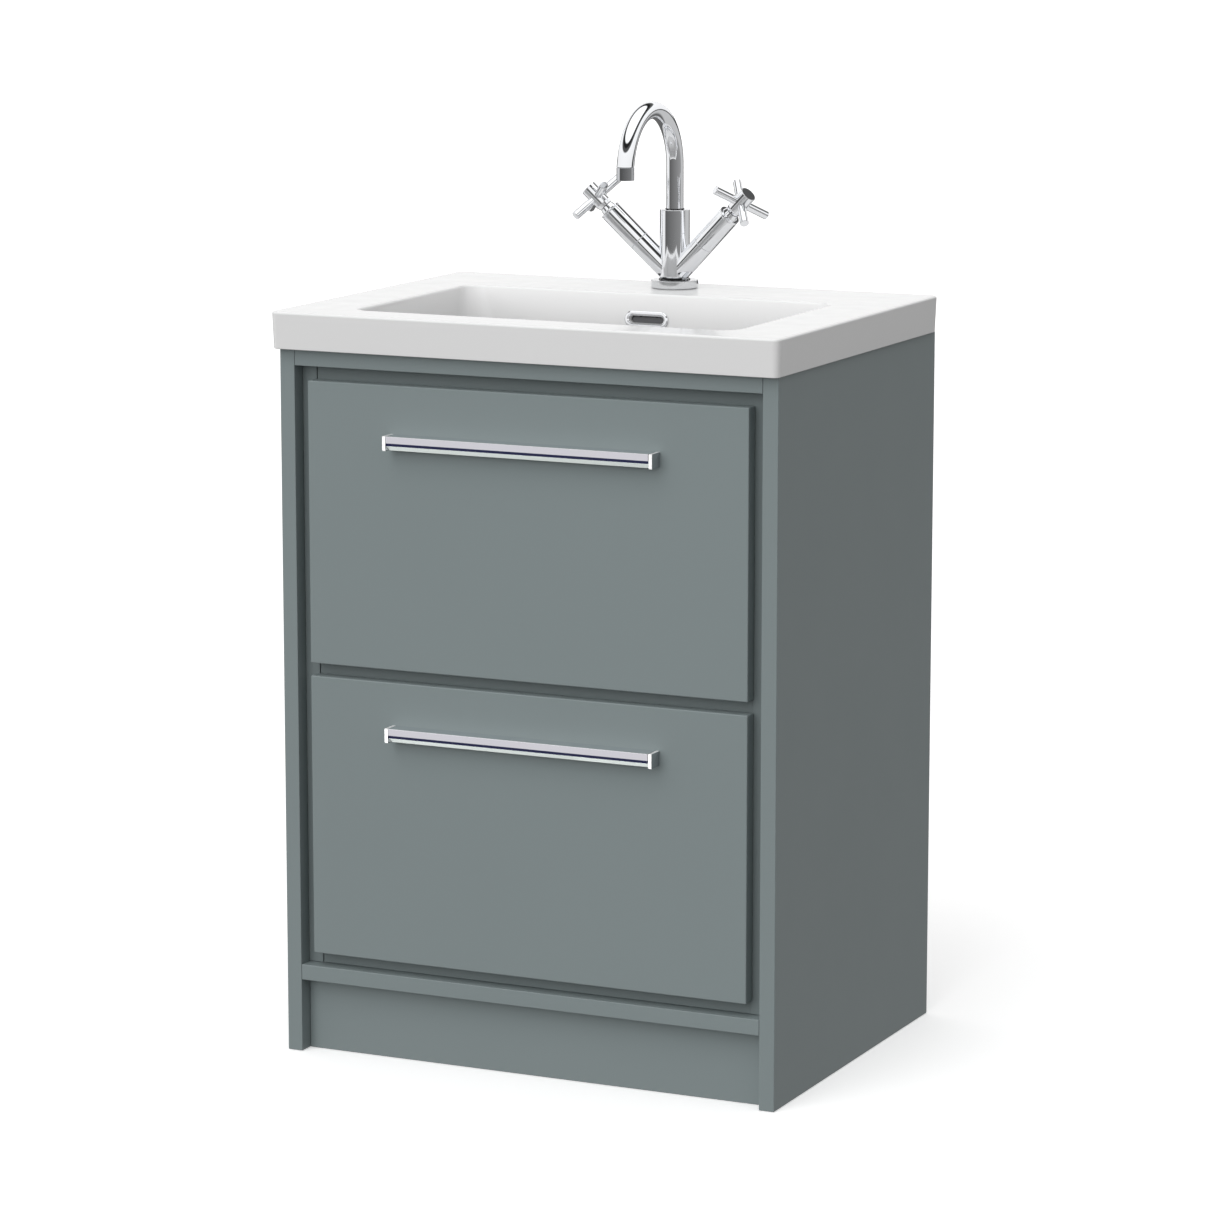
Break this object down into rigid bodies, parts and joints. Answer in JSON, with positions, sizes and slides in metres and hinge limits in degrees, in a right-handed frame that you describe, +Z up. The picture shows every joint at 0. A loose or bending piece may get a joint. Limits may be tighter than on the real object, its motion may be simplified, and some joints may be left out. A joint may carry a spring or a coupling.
{
  "type": "bathroom vanity cabinet",
  "caption": "Floor-standing painted vanity cabinet with deep drawers on full-extension runners, a ceramic basin top, overflow, bottle trap and a crosshead basin mixer.",
  "frame": {"origin": "floor level, in the middle of the bounding box", "axes": "+Z up, +Y to the wall behind the cabinet, +X to the right of someone facing the drawers"},
  "size_m": [0.6108, 0.475, 1.0625],
  "materials": {
    "cabinet_paint": "satin painted MDF, coastal grey",
    "carcass_board": "satin painted board behind the drawer fronts",
    "drawer_board": "white melamine-faced board",
    "basin_ceramic": "gloss white",
    "chrome_trim": "polished chrome plate",
    "runner_steel": "zinc-plated steel",
    "trap_plastic": "moulded white plastic"
  },
  "bodies": {
    "cabinet": {"side_panel_left": "cabinet_paint", "side_panel_right": "cabinet_paint", "carcass_side_left": "carcass_board", "carcass_side_right": "carcass_board", "carcass_floor": "cabinet_paint", "plinth": "cabinet_paint", "top_rail": "cabinet_paint", "upper_cross_rail": "carcass_board", "middle_cross_rail": "carcass_board", "lower_cross_rail": "carcass_board", "back_panel": "carcass_board", "back_rail": "carcass_board", "basin": "basin_ceramic", "overflow_ring": "chrome_trim", "waste_flange": "chrome_trim", "waste_nut": "trap_plastic", "waste_tail": "chrome_trim", "trap_nut": "trap_plastic", "trap_bottle": "trap_plastic", "trap_cup": "trap_plastic", "outlet_nut": "trap_plastic", "waste_pipe": "trap_plastic", "tap_base": "chrome_trim", "tap_body": "chrome_trim", "tap_bonnet_left": "chrome_trim", "tap_bonnet_right": "chrome_trim", "tap_back_nut": "chrome_trim", "upper_rail_left": "runner_steel", "upper_rail_right": "runner_steel", "lower_rail_left": "runner_steel", "lower_rail_right": "runner_steel"},
    "upper_drawer": {"upper_drawer_front": "cabinet_paint", "upper_handle": "chrome_trim", "upper_box_front": "drawer_board", "upper_box_side_left": "drawer_board", "upper_box_side_right": "drawer_board", "upper_box_back_left": "drawer_board", "upper_box_back_right": "drawer_board", "upper_box_recess": "drawer_board", "upper_box_base": "drawer_board", "upper_member_left": "runner_steel", "upper_member_right": "runner_steel"},
    "lower_drawer": {"lower_drawer_front": "cabinet_paint", "lower_handle": "chrome_trim", "lower_box_front": "drawer_board", "lower_box_side_left": "drawer_board", "lower_box_side_right": "drawer_board", "lower_box_back": "drawer_board", "lower_box_base": "drawer_board", "lower_member_left": "runner_steel", "lower_member_right": "runner_steel"},
    "upper_sliders": {"upper_slider_left": "runner_steel", "upper_slider_right": "runner_steel"},
    "lower_sliders": {"lower_slider_left": "runner_steel", "lower_slider_right": "runner_steel"},
    "hot_handle": {"tap_handle_left": "chrome_trim"},
    "cold_handle": {"tap_handle_right": "chrome_trim"},
    "tap_spout": {"spout": "chrome_trim", "aerator": "chrome_trim"},
    "waste_plug": {"waste_plug": "chrome_trim"}
  },
  "joints": [
    {"name": "upper_drawer_slide", "type": "slide", "parent": "cabinet", "child": "upper_drawer", "axis": [0, -1, 0], "range_m": [0, 0.35]},
    {"name": "upper_slider_slide", "type": "slide", "parent": "cabinet", "child": "upper_sliders", "axis": [0, -1, 0], "range_m": [0, 0.175]},
    {"name": "lower_drawer_slide", "type": "slide", "parent": "cabinet", "child": "lower_drawer", "axis": [0, -1, 0], "range_m": [0, 0.35]},
    {"name": "lower_slider_slide", "type": "slide", "parent": "cabinet", "child": "lower_sliders", "axis": [0, -1, 0], "range_m": [0, 0.175]},
    {"name": "hot_tap_turn", "type": "hinge", "parent": "cabinet", "child": "hot_handle", "pos_m": [0, 0.1795, 0.8565], "axis": [-0.7009, -0.1361, 0.7001], "range_deg": [0, 90]},
    {"name": "cold_tap_turn", "type": "hinge", "parent": "cabinet", "child": "cold_handle", "pos_m": [0, 0.1795, 0.8565], "axis": [-0.7009, 0.1361, -0.7001], "range_deg": [0, 90]},
    {"name": "spout_swivel", "type": "hinge", "parent": "cabinet", "child": "tap_spout", "pos_m": [0, 0.1795, 0.844], "axis": [0, 0, 1], "range_deg": [-60, 60]},
    {"name": "plug_press", "type": "slide", "parent": "cabinet", "child": "waste_plug", "axis": [0, 0, -1], "range_m": [0, 0.0075], "stiffness_N_per_m": 500, "springref_m": -0.01}
  ],
  "couplings": [
    {"joint": "upper_slider_slide", "follows": "upper_drawer_slide", "ratio": 0.5},
    {"joint": "lower_slider_slide", "follows": "lower_drawer_slide", "ratio": 0.5}
  ]
}
